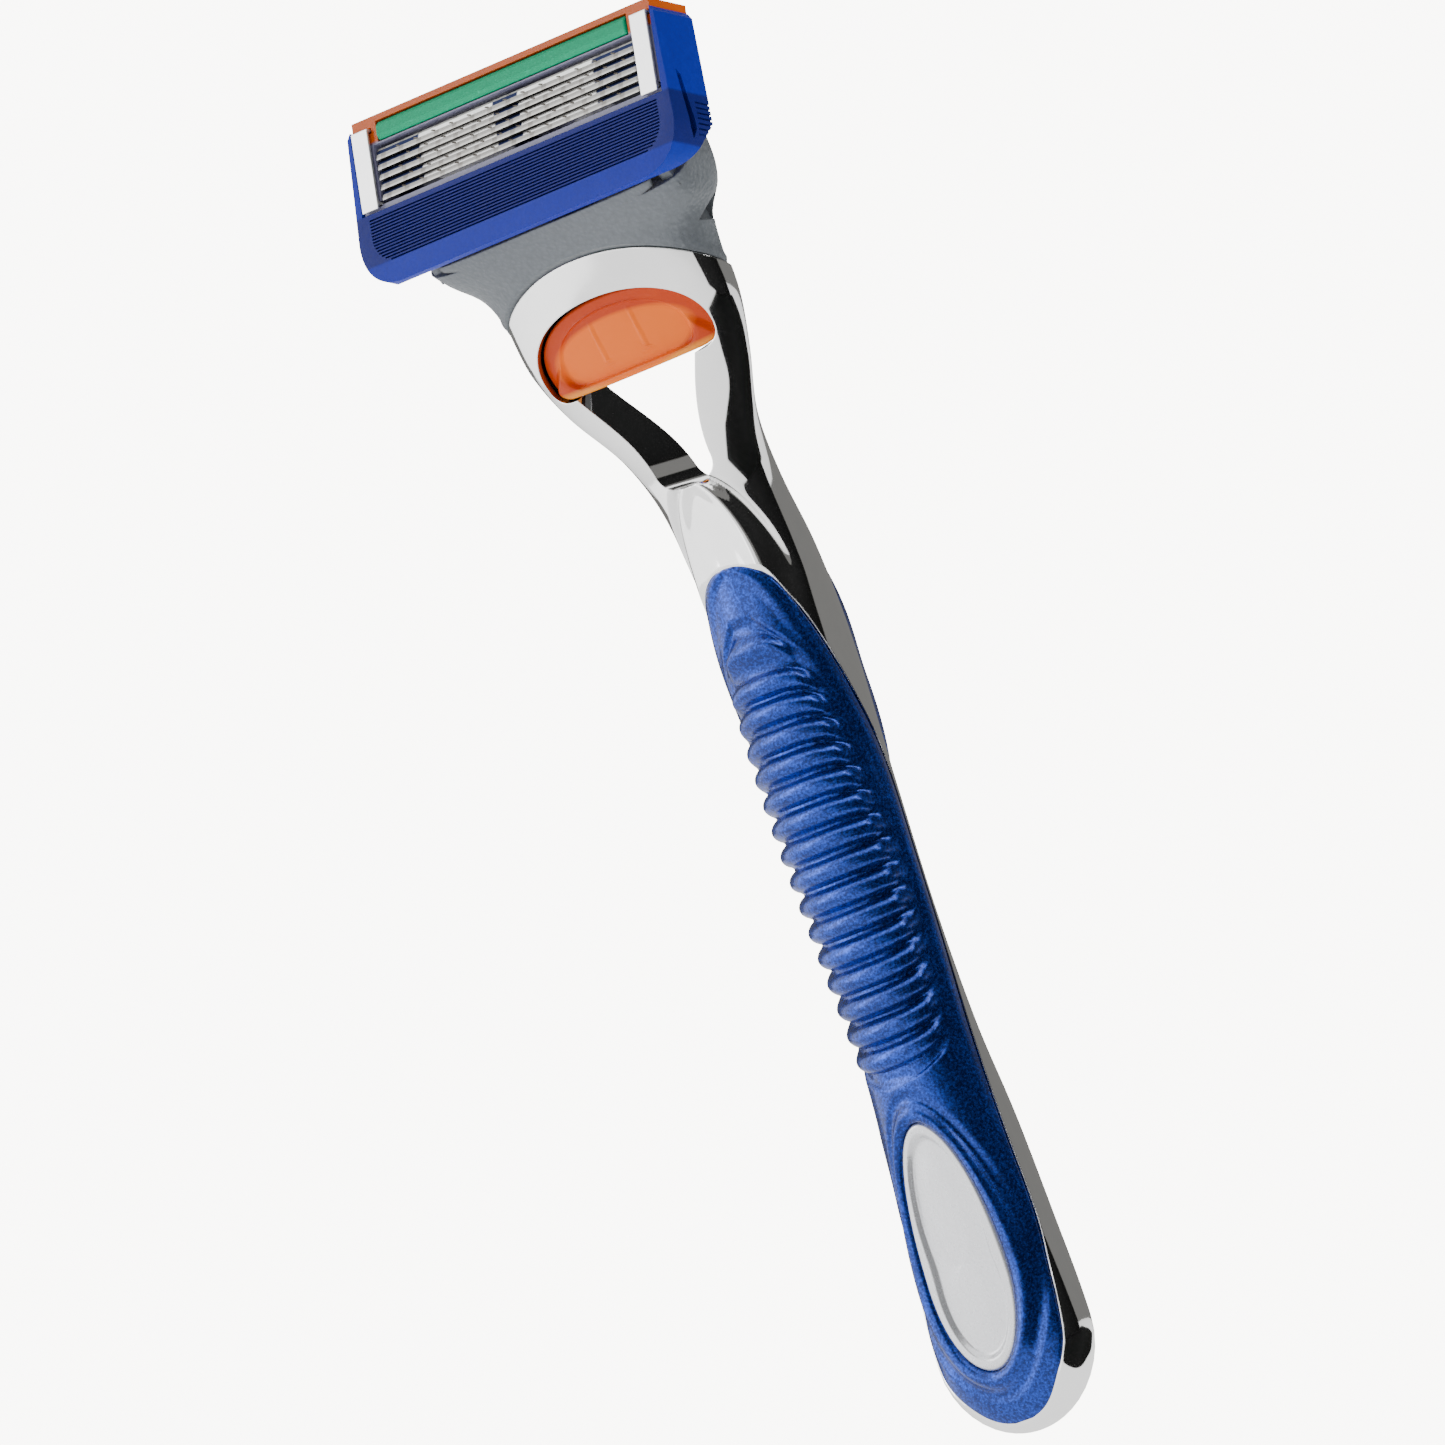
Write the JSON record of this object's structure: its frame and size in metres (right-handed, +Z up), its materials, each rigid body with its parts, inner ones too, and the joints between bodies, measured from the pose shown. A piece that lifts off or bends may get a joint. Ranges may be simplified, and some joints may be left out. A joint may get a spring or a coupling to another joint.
{
  "type": "cartridge razor",
  "caption": "Wet shaving razor: chrome handle with ribbed soft grips, push-button dock and a pivoting multi-blade cartridge with guard fins and lubricating strip.",
  "frame": {"origin": "in the neck under the head, where the fork of a razor stand holds it", "axes": "+Z up the handle to the head, +X across the blades to the shaver's right of the shaving face, -Y out of the shaving side"},
  "size_m": [0.042, 0.023, 0.1451],
  "materials": {
    "chrome_plate": "polished",
    "blue_grip": "satin",
    "badge_white": "satin",
    "black_plastic": "satin",
    "spring_steel": "satin",
    "orange_button": "gloss",
    "grey_yoke": "satin",
    "orange_frame": "gloss",
    "blue_guard": "satin",
    "green_strip": "satin",
    "blade_steel": "satin",
    "clip_aluminium": "satin"
  },
  "bodies": {
    "handle": {"handle_frame": "chrome_plate", "front_grip": "blue_grip", "rear_grip": "blue_grip", "badge": "badge_white", "dock_core": "black_plastic", "plunger_spring": "spring_steel", "button_spring_left": "spring_steel", "button_spring_right": "spring_steel"},
    "button": {"release_button": "orange_button", "ejector_left": "black_plastic", "ejector_right": "black_plastic"},
    "plunger": {"plunger": "black_plastic"},
    "yoke": {"yoke": "grey_yoke"},
    "blade_unit": {"blade_unit_frame": "orange_frame", "guard_overmold": "blue_guard", "lubricating_strip": "green_strip", "blade_1": "blade_steel", "blade_2": "blade_steel", "blade_3": "blade_steel", "blade_4": "blade_steel", "blade_5": "blade_steel", "blade_support_1": "blade_steel", "blade_support_2": "blade_steel", "blade_support_3": "blade_steel", "blade_support_4": "blade_steel", "blade_support_5": "blade_steel", "clip_left": "clip_aluminium", "clip_right": "clip_aluminium", "trimmer_blade": "blade_steel", "trimmer_guard": "blue_guard"}
  },
  "joints": [
    {"name": "release_button", "type": "slide", "parent": "handle", "child": "button", "axis": [0, -0.2079, 0.9781], "range_m": [0, 0.003], "stiffness_N_per_m": 600, "springref_m": -0.002, "deforming": ["button_spring_left", "button_spring_right"]},
    {"name": "cartridge_eject", "type": "slide", "parent": "handle", "child": "yoke", "axis": [0, -0.2079, 0.9781], "range_m": [0, 0.008]},
    {"name": "cartridge_pivot", "type": "hinge", "parent": "yoke", "child": "blade_unit", "pos_m": [0, -0.014, 0.0295], "axis": [-1, 0, 0], "range_deg": [0, 40], "stiffness_Nm_per_rad": 0.0065, "springref_deg": -17.19},
    {"name": "plunger_slide", "type": "slide", "parent": "handle", "child": "plunger", "axis": [0, 0.2079, -0.9781], "range_m": [0, 0.0045], "deforming": ["plunger_spring"]}
  ],
  "couplings": [
    {"joint": "cartridge_eject", "follows": "release_button", "ratio": 2.6666},
    {"joint": "plunger_slide", "follows": "cartridge_pivot", "m_per_rad": 0.0064}
  ]
}
